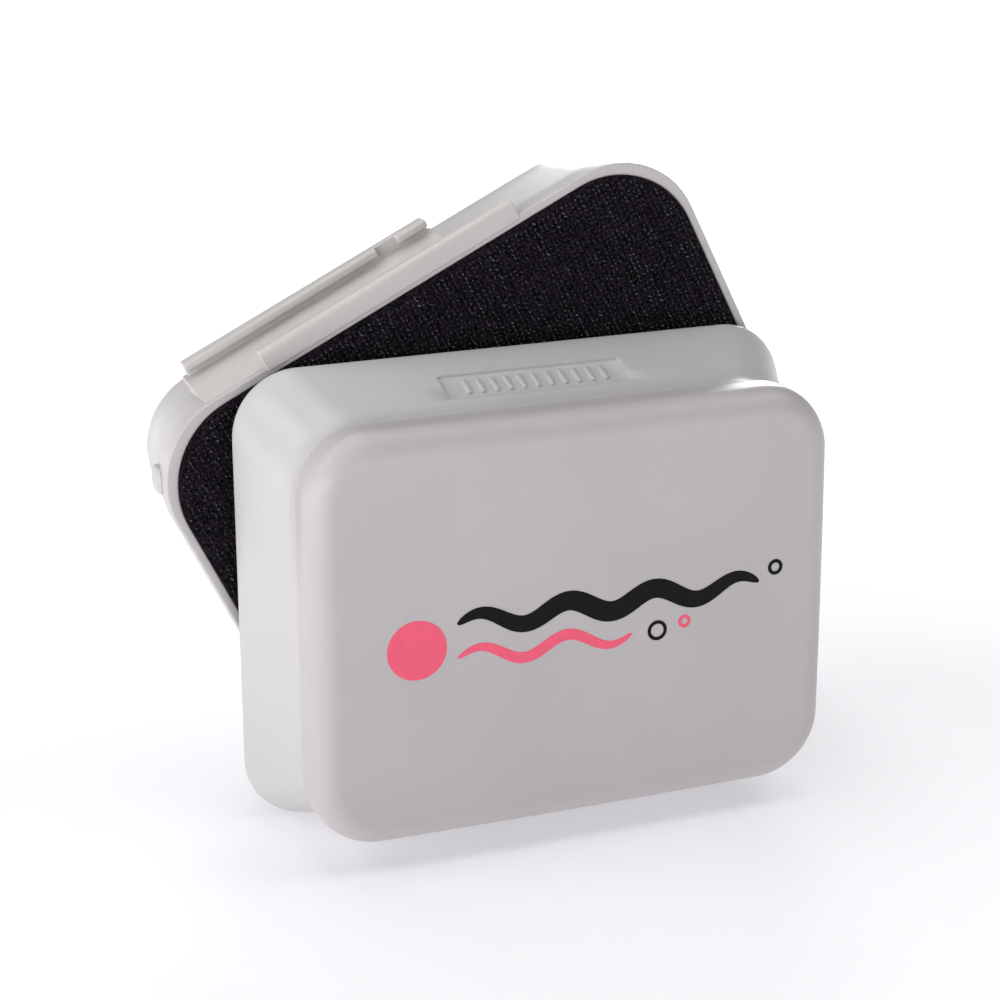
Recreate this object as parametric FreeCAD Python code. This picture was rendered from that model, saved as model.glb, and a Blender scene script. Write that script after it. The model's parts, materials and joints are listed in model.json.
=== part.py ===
import FreeCAD, Part
import math
import os

# A magnetic cleaner for aquarium glass: a dry handle with a felt pad and a floating wet half with a hook pad.
# Both halves hold magnets behind their pads. They stand pad to pad, with the float turned on the pad's normal.
#
# Everything is built lying flat and is stood up at the end. Lying flat, the two pads meet at z = 0, the handle
# is above it with its outer face at the top, and the float is below it. x runs along the handle's long side.
# Millimetres throughout.

Vector = FreeCAD.Vector

# ---- driving dimensions ---------------------------------------------------------------------------------

# the two pads
PAD_GAP = 0.3             # between the felt and the hooks
PAD_RECESS = 1.0          # how deep each pad sits in its half
FILM = 0.15               # adhesive film behind each pad
FELT_PROUD = 2.0          # felt standing out of the handle
HOOK_PROUD = 1.5          # hook tape standing out of the float
PLATE_PLAY = 0.1          # round the plate and the pad inside each rim

# handle
HANDLE_SIZE = (130.0, 103.0)
HANDLE_RADIUS = 14.5
HANDLE_WALL = 2.5
LAND = 1.5                # straight edge that the handle stands on
TAPER_RISE = 16.0         # height of the straight leaning side above the land
TAPER_INSET = 5.7         # how far that side leans in
WAIST_RADIUS = 13.9       # concave grip round the waist
NECK_ANGLE = 25.0         # how far the grip turns out again below the cap
LEAN_RATIO = 1.13         # the long sides lean in this much more than the short ones
WAIST_WEB = 2.0           # wall that closes the waist shell under the cap
SHOULDER = 1.5            # ledge that the base plate sits on
PLATE_THICKNESS = 2.5
SPIGOT = (2.6, 1.6, 2.3)  # ridge that centres the cap: inset, width, height
PANEL = (43.0, 8.6, 0.7)  # recessed panel on the upper side: length, height, depth
PANEL_RISE = 8.5          # from the pad side to the panel's near edge
PANEL_RADIUS = 0.8
PANEL_RIBS = (11, 3.2)    # raised ribs in the panel: how many, and their pitch
PANEL_RIB = (1.3, 5.0, 0.5)   # width, length and height of one rib

CAP_SIZE = (119.8, 91.4)
CAP_RADIUS = 15.0
CAP_DEPTH = 10.9
CAP_ROUNDING = 5.5
CAP_REAR_EDGE = 0.6
CAP_CROWN_RADIUS = 2200.0
CAP_WALL = 2.5

# float
FLOAT_SIZE = (135.6, 105.3)
FLOAT_RADIUS = 20.0
FLOAT_PAD_RADIUS = 20.0   # corner of the recess that the pad sits in
FLOAT_BACK_RADIUS = 17.0
FLOAT_DEPTH = 35.5
FLOAT_RIM_BAND = 5.0      # straight edge next to the pad
FLOAT_DRAFT = 7.5         # degrees, behind that edge
FLOAT_BACK_ROUNDING = 5.0
FLOAT_RIM = 2.0           # width of the rim round the pad
FLOAT_WALL = 2.5
FLOAT_TURN = 26.3         # degrees, at rest against the handle
FLOAT_SHIFT = -1.36       # of its centre along the handle, at rest
LUG = (6.0, 0.8, 7.0, 4.0)    # small lug on a corner: length, height, depth, distance from the rim
LUG_ANGLE = 155.0

# magnets: 2 x 2 blocks in each half under a steel plate
MAGNET_GAP = (9.0, 4.0)
HANDLE_MAGNET = (42.0, 28.0, 10.0)
FLOAT_MAGNET = (40.0, 25.0, 10.0)
HANDLE_YOKE = 2.0
FLOAT_YOKE = 2.0
RIB = 1.6                 # locating ribs round the magnets
RIB_HEIGHT = 5.0
RIB_PLAY = 0.2
BOSS_RADIUS = 3.6
SCREW = (1.5, 3.0, 2.0)   # yoke screws: shaft radius, head radius, head height
SCREW_DEPTH = 8.0
HANDLE_SCREW_PITCH = 22.0
FLOAT_SCREW_PITCH = 18.0
CENTRE_SCREW = (2.0, 4.0, 2.4)    # shaft radius, head radius, head height
CENTRE_PLAY = 0.05
CENTRE_FLOOR = 1.6        # plate left under the centre screw's bore

# blade holder on the float's upper long side, as (depth behind the rim, height above the side)
RAMP = (-49.5, 14.8)      # ends along the float
RAMP_LOW = (0.6, 0.2)
RAMP_HIGH = (13.3, 2.8)
HOLDER_BACK = 15.5
LIP = (-48.5, 1.0)
LIP_FRONT = 11.5
LIP_BOTTOM = 4.4
LIP_TOP = 6.3
STOP = (6.3, 14.0)
LIP_END_RADIUS = 0.8
STOP_END_RADIUS = 2.0
RAIL = (-34.5, 30.5)
RAIL_FRONT = -0.4
RAIL_BACK = 2.4
RAIL_BOTTOM = -0.9
RAIL_TOP = 4.0
RAIL_END_RADIUS = 2.0
HOLDER_ROOT = 4.0         # how far the holder is built into the side before the side is cut from it
SMALL_EDGE = 0.5

HANDLE_FACE = PAD_GAP / 2 + FELT_PROUD
FLOAT_FACE = -(PAD_GAP / 2 + HOOK_PROUD)


# ---- shared shapes --------------------------------------------------------------------------------------

def outline(size, radius, height):
    """A rounded rectangle about the z axis, as a wire at one height."""
    half_w, half_h = size[0] / 2, size[1] / 2
    in_w, in_h = half_w - radius, half_h - radius
    diagonal = radius * math.sqrt(0.5)
    edges = []
    for turn, (run, side, far) in enumerate([(in_h, half_w, in_w), (in_w, half_h, in_h)] * 2):
        spin = FreeCAD.Rotation(Vector(0, 0, 1), 90.0 * turn)
        start = Vector(side, -run, 0)
        end = Vector(side, run, 0)
        middle = Vector(far + diagonal, run + diagonal, 0)
        corner_end = Vector(far, run + radius, 0)
        edges.append(Part.LineSegment(spin.multVec(start), spin.multVec(end)).toShape())
        arc = Part.Arc(spin.multVec(end), spin.multVec(middle), spin.multVec(corner_end))
        edges.append(arc.toShape())
    wire = Part.Wire(edges)
    wire.translate(Vector(0, 0, height))
    return wire


def smaller(size, inset):
    return (size[0] - 2 * inset, size[1] - 2 * inset)


def slab(size, radius, low, high):
    """A rounded rectangular block between two heights."""
    return Part.Face(outline(size, radius, low)).extrude(Vector(0, 0, high - low))


def block(low, high):
    """A plain box between two corners."""
    size = [b - a for a, b in zip(low, high)]
    return Part.makeBox(size[0], size[1], size[2], Vector(*low))


def prism(points, low, high):
    """A polygon of (y, z) points, run along x from low to high."""
    wire = Part.makePolygon([Vector(low, y, z) for y, z in points + points[:1]])
    return Part.Face(wire).extrude(Vector(high - low, 0, 0))


def rod(radius, low, high, x=0.0, y=0.0):
    return Part.makeCylinder(radius, high - low, Vector(x, y, low))


def joined(shapes):
    return shapes[0].fuse(shapes[1:]).removeSplitter()


def edges_at(shape, height, tolerance=0.01):
    """The edges that lie wholly at one height."""
    found = []
    for edge in shape.Edges:
        box = edge.BoundBox
        if abs(box.ZMin - height) < tolerance and abs(box.ZMax - height) < tolerance:
            found.append(edge)
    return found


def quarters(size, gap):
    """The four magnet centres, with a name for each as seen from the outside of the handle."""
    reach_x = (size[0] + gap[0]) / 2
    reach_y = (size[1] + gap[1]) / 2
    return {
        "upper_left": (-reach_x, reach_y),
        "upper_right": (reach_x, reach_y),
        "lower_left": (-reach_x, -reach_y),
        "lower_right": (reach_x, -reach_y),
    }


def magnet(size, centre, low):
    half_x, half_y = size[0] / 2, size[1] / 2
    x, y = centre
    return block((x - half_x, y - half_y, low), (x + half_x, y + half_y, low + size[2]))


def pack_size(magnet_size):
    """Width and height of the 2 x 2 group, with its gaps."""
    return tuple(2 * magnet_size[i] + MAGNET_GAP[i] for i in range(2))


def locating_ribs(magnet_size, low, high):
    """A low wall round the group of magnets."""
    inner = [s + 2 * RIB_PLAY for s in pack_size(magnet_size)]
    outer = [s + 2 * RIB for s in inner]
    wall = block((-outer[0] / 2, -outer[1] / 2, low), (outer[0] / 2, outer[1] / 2, high))
    return wall.cut(block((-inner[0] / 2, -inner[1] / 2, low), (inner[0] / 2, inner[1] / 2, high)))


def yoke(magnet_size, low, thickness, holes):
    """The steel plate that closes the magnets' circuit, with a clear hole for each (radius, y)."""
    width, height = pack_size(magnet_size)
    plate = slab((width, height), 3.0, low, low + thickness)
    for radius, y in holes:
        plate = plate.cut(rod(radius, low, low + thickness, 0, y))
    return plate


def flipped(shape):
    """Turns a shape built upwards from the rim into one that goes down from the float's face."""
    turned = shape.copy()
    turned.rotate(Vector(0, 0, 0), Vector(1, 0, 0), 180)
    turned.translate(Vector(0, 0, FLOAT_FACE))
    return turned


# ---- handle ---------------------------------------------------------------------------------------------

def waist_profile():
    """(height, inset) of the outside of the handle's side, from the land to the cap."""
    lean = math.atan2(TAPER_INSET, TAPER_RISE)
    start = LAND + TAPER_RISE
    bottom = TAPER_INSET + WAIST_RADIUS * (1 - math.cos(lean))
    middle = start + WAIST_RADIUS * math.sin(lean)
    neck = math.radians(NECK_ANGLE)
    steps = 8
    points = []
    for i in range(steps + 1):
        angle = -lean + (lean + neck) * i / steps
        inset = bottom - WAIST_RADIUS * (1 - math.cos(angle))
        points.append((middle + WAIST_RADIUS * math.sin(angle), inset))
    return points


NECK_TOP = waist_profile()[-1][0]


def leaning(inset):
    return (HANDLE_SIZE[0] - 2 * inset, HANDLE_SIZE[1] - 2 * inset * LEAN_RATIO)


def waist_shell():
    """The handle's middle moulding: a tapering wall with a concave waist, closed below the cap."""
    profile = waist_profile()
    land = slab(HANDLE_SIZE, HANDLE_RADIUS, 0, LAND)
    taper_wires = [outline(leaning(0), HANDLE_RADIUS, LAND)]
    taper_wires.append(outline(leaning(profile[0][1]), HANDLE_RADIUS, profile[0][0]))
    taper = Part.makeLoft(taper_wires, True, True)
    grip = Part.makeLoft([outline(leaning(i), HANDLE_RADIUS, h) for h, i in profile], True, False)
    outside = land.fuse([taper, grip])

    seat = PAD_RECESS + PLATE_THICKNESS
    seat_size = smaller(HANDLE_SIZE, HANDLE_WALL)
    hollow_low = HANDLE_WALL + SHOULDER
    taper_top, taper_inset = profile[0]
    roof = NECK_TOP - WAIST_WEB
    wall = HANDLE_WALL + 0.3
    deepest = max(inset for _, inset in profile)
    hollow_radius = HANDLE_RADIUS - HANDLE_WALL - SHOULDER
    hollow_wires = [outline(smaller(HANDLE_SIZE, hollow_low), hollow_radius, seat)]
    for height, inset in ((taper_top, taper_inset), (roof, deepest)):
        hollow_wires.append(outline(smaller(leaning(inset), wall), hollow_radius, height))
    hollow = Part.makeLoft(hollow_wires, True, True)
    pocket = slab(seat_size, HANDLE_RADIUS - HANDLE_WALL, 0, seat)

    inset, width, height = SPIGOT
    ring_size = smaller(CAP_SIZE, inset)
    ring_radius = CAP_RADIUS - inset
    ring = slab(ring_size, ring_radius, NECK_TOP - 0.5, NECK_TOP + height)
    ring = ring.cut(slab(smaller(ring_size, width), ring_radius - width, NECK_TOP - 0.5, NECK_TOP + height))

    return joined([outside, ring]).cut([pocket, hollow, panel()])


def panel():
    """What is cut from the leaning upper side for the panel. The ribs stay standing in it."""
    length, height, depth = PANEL
    count, pitch = PANEL_RIBS
    width, run, rise = PANEL_RIB
    recess = slab((length, height), PANEL_RADIUS, -depth, 1.0)
    for i in range(count):
        x = pitch * (i - (count - 1) / 2)
        recess = recess.cut(block((x - width / 2, -run / 2, -depth), (x + width / 2, run / 2, rise - depth)))
    lean = math.degrees(math.atan2(TAPER_INSET * LEAN_RATIO, TAPER_RISE))
    recess.rotate(Vector(0, 0, 0), Vector(1, 0, 0), -90)
    recess.translate(Vector(0, 0, height / 2))
    recess.rotate(Vector(0, 0, 0), Vector(1, 0, 0), lean)
    inset = (PANEL_RISE - LAND) * TAPER_INSET * LEAN_RATIO / TAPER_RISE
    recess.translate(Vector(0, HANDLE_SIZE[1] / 2 - inset, PANEL_RISE))
    return recess


def front_cap():
    """The rounded, slightly crowned moulding that closes the handle."""
    top = NECK_TOP + CAP_DEPTH
    blank = slab(CAP_SIZE, CAP_RADIUS, NECK_TOP, top + 1.0)
    ball = Part.makeSphere(CAP_CROWN_RADIUS, Vector(0, 0, top - CAP_CROWN_RADIUS))
    crowned = blank.common(ball)
    rim = [e for e in crowned.Edges if e.BoundBox.ZMin > NECK_TOP + 1.0 and e.BoundBox.ZMax < top + 0.5]
    rim = [e for e in rim if e.BoundBox.ZLength < 2.5]
    rounded = crowned.makeFillet(CAP_ROUNDING, rim)
    rounded = rounded.makeChamfer(CAP_REAR_EDGE, edges_at(rounded, NECK_TOP))
    room = slab(smaller(CAP_SIZE, CAP_WALL), CAP_RADIUS - CAP_WALL, NECK_TOP, top - CAP_WALL - 0.6)
    room = room.makeFillet(3.0, edges_at(room, top - CAP_WALL - 0.6))
    return rounded.cut(room)


def base_plate():
    """The plate behind the felt, with ribs for the magnets and bosses for the yoke screws."""
    low = PAD_RECESS
    high = PAD_RECESS + PLATE_THICKNESS
    size = smaller(HANDLE_SIZE, HANDLE_WALL + PLATE_PLAY)
    plate = slab(size, HANDLE_RADIUS - HANDLE_WALL - PLATE_PLAY, low, high)
    parts = [plate, locating_ribs(HANDLE_MAGNET, high, high + RIB_HEIGHT)]
    for y in screw_rows(HANDLE_SCREW_PITCH, 3):
        parts.append(rod(BOSS_RADIUS, high, high + HANDLE_MAGNET[2], 0, y))
    bored = joined(parts)
    top = high + HANDLE_MAGNET[2]
    for y in screw_rows(HANDLE_SCREW_PITCH, 3):
        bored = bored.cut(rod(SCREW[0], top - SCREW_DEPTH, top, 0, y))
    return bored


def screw_rows(pitch, count):
    return [pitch * (i - (count - 1) / 2) for i in range(count)]


def yoke_screws(rows, yoke_low, yoke_high):
    """One solid for each screw: a shaft through the yoke into its boss, and a round head."""
    shaft_radius, head_radius, head_height = SCREW
    screws = []
    for y in rows:
        shaft = rod(shaft_radius, yoke_low - SCREW_DEPTH, yoke_high + 0.1, 0, y)
        head = rod(head_radius, yoke_high, yoke_high + head_height, 0, y)
        head = head.makeFillet(0.8, edges_at(head, yoke_high + head_height))
        screws.append(joined([shaft, head]))
    return Part.makeCompound(screws)


def handle_parts():
    """Every piece of the handle, built upwards from its pad side."""
    inside = PAD_RECESS + PLATE_THICKNESS
    yoke_low = inside + HANDLE_MAGNET[2]
    yoke_high = yoke_low + HANDLE_YOKE
    rows = screw_rows(HANDLE_SCREW_PITCH, 3)
    pad_size = smaller(HANDLE_SIZE, HANDLE_WALL + PLATE_PLAY)
    pad_radius = HANDLE_RADIUS - HANDLE_WALL - PLATE_PLAY
    parts = {
        "handle_waist_shell": waist_shell(),
        "handle_front_cap": front_cap(),
        "handle_base_plate": base_plate(),
        "handle_felt_pad": slab(pad_size, pad_radius, -FELT_PROUD, PAD_RECESS - FILM),
        "handle_felt_adhesive": slab(pad_size, pad_radius, PAD_RECESS - FILM, PAD_RECESS),
        "handle_yoke_plate": yoke(HANDLE_MAGNET, yoke_low, HANDLE_YOKE, [(SCREW[0], y) for y in rows]),
        "handle_yoke_screws": yoke_screws(rows, yoke_low, yoke_high),
    }
    for name, centre in quarters(HANDLE_MAGNET, MAGNET_GAP).items():
        parts["handle_magnet_" + name] = magnet(HANDLE_MAGNET, centre, inside)
    for shape in parts.values():
        shape.translate(Vector(0, 0, HANDLE_FACE))
    return parts


# ---- float ----------------------------------------------------------------------------------------------
# The float is built upwards from its rim, z being the depth behind it, and flipped over afterwards. Its upper
# long side is at -y while it is built, because the flip turns y round.

def draft_inset(depth):
    return max(0.0, depth - FLOAT_RIM_BAND) * math.tan(math.radians(FLOAT_DRAFT))


def float_outside():
    """The float's outside as one solid."""
    band = slab(FLOAT_SIZE, FLOAT_RADIUS, 0, FLOAT_RIM_BAND)
    inset = draft_inset(FLOAT_DEPTH)
    back = outline(smaller(FLOAT_SIZE, inset), FLOAT_BACK_RADIUS, FLOAT_DEPTH)
    drafted = Part.makeLoft([outline(FLOAT_SIZE, FLOAT_RADIUS, FLOAT_RIM_BAND), back], True, True)
    drafted = drafted.makeFillet(FLOAT_BACK_ROUNDING, edges_at(drafted, FLOAT_DEPTH))
    return band.fuse(drafted)


def lug():
    """A small rounded lug on the corner at the float's upper left."""
    length, height, depth, start = LUG
    angle = math.radians(LUG_ANGLE)
    centre_x = -(FLOAT_SIZE[0] / 2 - FLOAT_RADIUS)
    centre_y = FLOAT_SIZE[1] / 2 - FLOAT_RADIUS
    piece = Part.makeBox(4.0 + height, length, depth, Vector(FLOAT_RADIUS - 4.0, -length / 2, start))
    outer = [e for e in piece.Edges if e.BoundBox.XMin > FLOAT_RADIUS + height - 0.01]
    piece = piece.makeFillet(0.8, outer)
    piece.rotate(Vector(0, 0, 0), Vector(0, 0, 1), -math.degrees(angle))
    piece.translate(Vector(centre_x, -centre_y, 0))
    return piece


def float_tub():
    """The float's outer moulding, open towards the pad."""
    seat = PAD_RECESS + PLATE_THICKNESS
    pocket = slab(smaller(FLOAT_SIZE, FLOAT_RIM), FLOAT_PAD_RADIUS, 0, seat)
    inset_low = FLOAT_WALL + SHOULDER
    floor = FLOAT_DEPTH - FLOAT_WALL
    inset_high = draft_inset(floor) + FLOAT_WALL + 0.5
    low = outline(smaller(FLOAT_SIZE, inset_low), FLOAT_RADIUS - inset_low, seat)
    high = outline(smaller(FLOAT_SIZE, inset_high), FLOAT_BACK_RADIUS - FLOAT_WALL, floor)
    hollow = Part.makeLoft([low, high], True, True)
    hollow = hollow.makeFillet(3.0, edges_at(hollow, floor))
    return joined([float_outside(), lug()]).cut([pocket, hollow])


def face_plate():
    """The plate behind the hook pad, with ribs for the magnets and bosses for the screws."""
    low = PAD_RECESS
    high = PAD_RECESS + PLATE_THICKNESS
    size = smaller(FLOAT_SIZE, FLOAT_RIM + PLATE_PLAY)
    plate = slab(size, FLOAT_PAD_RADIUS - PLATE_PLAY, low, high)
    top = high + FLOAT_MAGNET[2]
    parts = [plate, locating_ribs(FLOAT_MAGNET, high, high + RIB_HEIGHT), rod(BOSS_RADIUS, high, top)]
    rows = screw_rows(2 * FLOAT_SCREW_PITCH, 2)
    for y in rows:
        parts.append(rod(BOSS_RADIUS, high, top, 0, y))
    bored = joined(parts)
    for y in rows:
        bored = bored.cut(rod(SCREW[0], top - SCREW_DEPTH, top, 0, y))
    return bored.cut(rod(CENTRE_SCREW[0] + CENTRE_PLAY, low + CENTRE_FLOOR, top))


def centre_screw():
    """The round screw on the float's turning axis. It has running clearance all round."""
    shaft_radius, head_radius, head_height = CENTRE_SCREW
    foot = PAD_RECESS + CENTRE_FLOOR + 0.2
    seat = PAD_RECESS + PLATE_THICKNESS + FLOAT_MAGNET[2] + FLOAT_YOKE + 0.1
    shaft = rod(shaft_radius, foot, seat + 0.1)
    head = rod(head_radius, seat, seat + head_height)
    head = head.makeFillet(1.0, edges_at(head, seat + head_height))
    return joined([shaft, head])


def blade_holder():
    """The rails that a scraper blade slides into, on the float's upper long side."""
    side = FLOAT_SIZE[1] / 2

    def section(points):
        return [(-(side + height), depth) for depth, height in points]

    ramp = prism(section([
        (RAMP_LOW[0], -HOLDER_ROOT),
        RAMP_LOW,
        RAMP_HIGH,
        (HOLDER_BACK, RAMP_HIGH[1]),
        (HOLDER_BACK, -HOLDER_ROOT),
    ]), *RAMP)
    wall = prism(section([
        (RAMP_HIGH[0], RAMP_HIGH[1] - 1.0),
        (RAMP_HIGH[0], LIP_TOP),
        (HOLDER_BACK - SMALL_EDGE, LIP_TOP),
        (HOLDER_BACK, LIP_TOP - SMALL_EDGE),
        (HOLDER_BACK, RAMP_HIGH[1] - 1.0),
    ]), LIP[0], STOP[1])

    def overhang(start, end, start_radius, end_radius):
        """The lip that reaches forwards over the blade, rounded at its two free corners."""
        low = (start, -(side + LIP_TOP), LIP_FRONT)
        high = (end, -(side + LIP_BOTTOM), RAMP_HIGH[0] + SMALL_EDGE)
        lip = block(low, high)
        for x, radius in ((start, start_radius), (end, end_radius)):
            corner = [e for e in lip.Edges
                      if abs(e.BoundBox.XMin - x) + abs(e.BoundBox.XMax - x) < 0.01
                      and e.BoundBox.ZMax < LIP_FRONT + 0.01]
            lip = lip.makeFillet(radius, corner)
        return lip

    lip = overhang(*LIP, LIP_END_RADIUS, LIP_END_RADIUS)
    stop = overhang(*STOP, LIP_END_RADIUS, STOP_END_RADIUS)
    rail = prism(section([
        (RAIL_FRONT, RAIL_BOTTOM),
        (RAIL_FRONT, RAIL_TOP),
        (RAIL_BACK, RAIL_TOP),
        (RAIL_BACK, -HOLDER_ROOT),
        (SMALL_EDGE, -HOLDER_ROOT),
        (SMALL_EDGE, RAIL_BOTTOM),
    ]), *RAIL)
    top = -(side + RAIL_TOP)
    end_edge = [e for e in rail.Edges
                if abs(e.BoundBox.XMax - RAIL[0]) < 0.01 and abs(e.BoundBox.YMax - top) < 0.01]
    rail = rail.makeFillet(RAIL_END_RADIUS, end_edge)
    top_edges = [e for e in rail.Edges
                 if abs(e.BoundBox.YMax - top) < 0.01 and e.BoundBox.XLength > 10]
    rail = rail.makeFillet(SMALL_EDGE, top_edges)
    return joined([ramp, wall, lip, stop, rail]).cut(float_outside())


def float_parts():
    """Every piece of the float, built upwards from its rim and then flipped, turned and put in place."""
    inside = PAD_RECESS + PLATE_THICKNESS
    yoke_low = inside + FLOAT_MAGNET[2]
    yoke_high = yoke_low + FLOAT_YOKE
    rows = screw_rows(2 * FLOAT_SCREW_PITCH, 2)
    holes = [(SCREW[0], y) for y in rows] + [(CENTRE_SCREW[0] + CENTRE_PLAY, 0.0)]
    pad_size = smaller(FLOAT_SIZE, FLOAT_RIM + PLATE_PLAY)
    pad_radius = FLOAT_PAD_RADIUS - PLATE_PLAY
    parts = {
        "float_tub": float_tub(),
        "float_face_plate": face_plate(),
        "float_blade_holder": blade_holder(),
        "float_hook_pad": slab(pad_size, pad_radius, -HOOK_PROUD, PAD_RECESS - FILM),
        "float_hook_adhesive": slab(pad_size, pad_radius, PAD_RECESS - FILM, PAD_RECESS),
        "float_yoke_plate": yoke(FLOAT_MAGNET, yoke_low, FLOAT_YOKE, holes),
        "float_yoke_screws": yoke_screws(rows, yoke_low, yoke_high),
        "float_centre_screw": centre_screw(),
    }
    for name, (x, y) in quarters(FLOAT_MAGNET, MAGNET_GAP).items():
        parts["float_magnet_" + name] = magnet(FLOAT_MAGNET, (x, -y), inside)
    placed = {}
    for name, shape in parts.items():
        piece = flipped(shape)
        piece.rotate(Vector(0, 0, 0), Vector(0, 0, 1), FLOAT_TURN)
        piece.translate(Vector(FLOAT_SHIFT, float_rise(), 0))
        placed[name] = piece
    return placed


def float_rise():
    """How far the float's centre is above the handle's, so that both stand on one surface."""
    turn = math.radians(FLOAT_TURN)
    reach_x = FLOAT_SIZE[0] / 2 - FLOAT_RADIUS
    reach_y = FLOAT_SIZE[1] / 2 - FLOAT_RADIUS
    down = reach_x * math.sin(turn) + reach_y * math.cos(turn) + FLOAT_RADIUS
    return down - HANDLE_SIZE[1] / 2


# ---- the whole object -----------------------------------------------------------------------------------

def stood_up(parts):
    """Stands everything on the handle's lower long edge, with the origin at the middle of the base."""
    for shape in parts.values():
        shape.rotate(Vector(0, 0, 0), Vector(1, 0, 0), 90)
    box = Part.makeCompound(list(parts.values())).optimalBoundingBox(False, False)
    move = Vector(-(box.XMin + box.XMax) / 2, -(box.YMin + box.YMax) / 2, -box.ZMin)
    for shape in parts.values():
        shape.translate(move)
    return move


def main():
    parts = handle_parts()
    parts.update(float_parts())
    move = stood_up(parts)
    os.makedirs("parts", exist_ok=True)
    for name, shape in sorted(parts.items()):
        if not shape.isValid():
            raise ValueError(name + " is not a valid shape")
        shape.exportStep("parts/" + name + ".step")
        print("%-28s %2d solid(s) %9.1f mm3" % (name, len(shape.Solids), shape.Volume))
    print("turning axis: x %.3f z %.3f" % (FLOAT_SHIFT + move.x, float_rise() + move.z))
    print("handle centre: x %.3f z %.3f, pads meet at y %.3f" % (move.x, move.z, move.y))
    box = Part.makeCompound(list(parts.values())).optimalBoundingBox(False, False)
    print("whole: x %.2f..%.2f y %.2f..%.2f z %.2f..%.2f" % (
        box.XMin, box.XMax, box.YMin, box.YMax, box.ZMin, box.ZMax))


main()
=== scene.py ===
import json
import math
import bmesh
import bpy
import numpy as np
from mathutils import Matrix, Vector


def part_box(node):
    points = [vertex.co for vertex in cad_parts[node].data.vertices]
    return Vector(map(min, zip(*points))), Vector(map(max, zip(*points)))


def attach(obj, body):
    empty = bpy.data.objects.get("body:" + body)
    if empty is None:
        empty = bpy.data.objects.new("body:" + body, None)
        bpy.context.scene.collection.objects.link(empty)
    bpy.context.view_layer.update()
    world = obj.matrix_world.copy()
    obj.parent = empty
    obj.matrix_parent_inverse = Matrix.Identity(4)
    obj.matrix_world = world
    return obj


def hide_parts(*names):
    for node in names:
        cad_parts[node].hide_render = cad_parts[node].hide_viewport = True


# The looks of a magnetic cleaner for aquarium glass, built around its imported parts. Everything is in metres.
#
# Each half has a frame of its own: u runs along its long side, v across it, and w is the depth from its rim,
# towards the handle's outer face or towards the float's back. Pads stand out to negative w.

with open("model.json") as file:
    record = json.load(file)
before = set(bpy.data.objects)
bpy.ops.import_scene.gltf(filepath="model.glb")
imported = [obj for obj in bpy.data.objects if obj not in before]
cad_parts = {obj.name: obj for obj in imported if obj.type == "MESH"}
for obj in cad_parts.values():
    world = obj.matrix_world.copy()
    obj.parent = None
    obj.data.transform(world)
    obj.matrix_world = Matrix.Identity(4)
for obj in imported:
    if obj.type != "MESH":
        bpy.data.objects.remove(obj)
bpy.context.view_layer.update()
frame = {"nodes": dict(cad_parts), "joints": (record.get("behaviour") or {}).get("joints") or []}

MM = 0.001
SEED = 11

# ---- driving dimensions, the same as the parts' unless a comment says otherwise ----------------------------

PAD_BACK = 0.85 * MM          # where a pad meets its adhesive film
PLATE_SEAT = 3.5 * MM         # ledge that the plate behind a pad sits on
SHOULDER = 1.5 * MM
RIM_ROUNDING = 0.45 * MM      # of both rims, which are square on the parts

HANDLE_SIZE = (130.0 * MM, 103.0 * MM)
HANDLE_RADIUS = 14.5 * MM
HANDLE_WALL = 2.5 * MM
LAND = 1.5 * MM
TAPER_RISE = 16.0 * MM
TAPER_INSET = 5.7 * MM
LEAN_RATIO = 1.13             # the long sides lean in this much more than the short ones
WAIST_RADIUS = 13.9 * MM
NECK_ANGLE = math.radians(25.0)
WAIST_WEB = 2.0 * MM
SPIGOT = (2.6 * MM, 1.6 * MM, 2.3 * MM)       # ridge inside the cap: inset, width, height
PANEL = (43.0 * MM, 8.6 * MM, 0.7 * MM)       # recess in the upper side: length, height, depth
PANEL_RISE = 8.5 * MM
PANEL_RADIUS = 0.8 * MM
PANEL_RIBS = (11, 3.2 * MM)                   # how many, and their pitch
PANEL_RIB = (1.3 * MM, 5.0 * MM, 0.5 * MM)    # width, run and height of one rib

CAP_SIZE = (119.8 * MM, 91.4 * MM)
CAP_RADIUS = 15.0 * MM
CAP_DEPTH = 10.9 * MM
CAP_ROUNDING = 5.5 * MM
CAP_REAR_EDGE = 0.45 * MM         # tighter than the part's, for a finer groove
CAP_CROWN_RADIUS = 2200.0 * MM    # of the front face, a very flat dome
CAP_WALL = 2.5 * MM
CAP_INNER_RADIUS = 3.0 * MM
CAP_ROOF_SLACK = 0.6 * MM         # extra roof in the middle, because the crown thins it outwards
CAP_FACE_SHARES = (0.012, 0.06, 0.16, 0.3, 0.45, 0.6, 0.75, 0.9, 0.98)    # rings on the front face
PRINT_THICKNESS = 0.04 * MM   # of the printed mark

FLOAT_SIZE = (135.6 * MM, 105.3 * MM)
FLOAT_RADIUS = 20.0 * MM
FLOAT_PAD_RADIUS = 20.0 * MM
FLOAT_BACK_RADIUS = 17.0 * MM
FLOAT_DEPTH = 35.5 * MM
FLOAT_RIM_BAND = 5.0 * MM
FLOAT_DRAFT = math.radians(7.5)
FLOAT_BACK_ROUNDING = 5.0 * MM
FLOAT_RIM = 2.0 * MM
FLOAT_WALL = 2.5 * MM
FLOAT_TURN = math.radians(26.3)     # on the pads' normal, at rest
LUG = (6.0 * MM, 0.8 * MM, 7.0 * MM, 4.0 * MM)    # length, height, depth, distance from the rim
LUG_ANGLE = math.radians(155.0)

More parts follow.
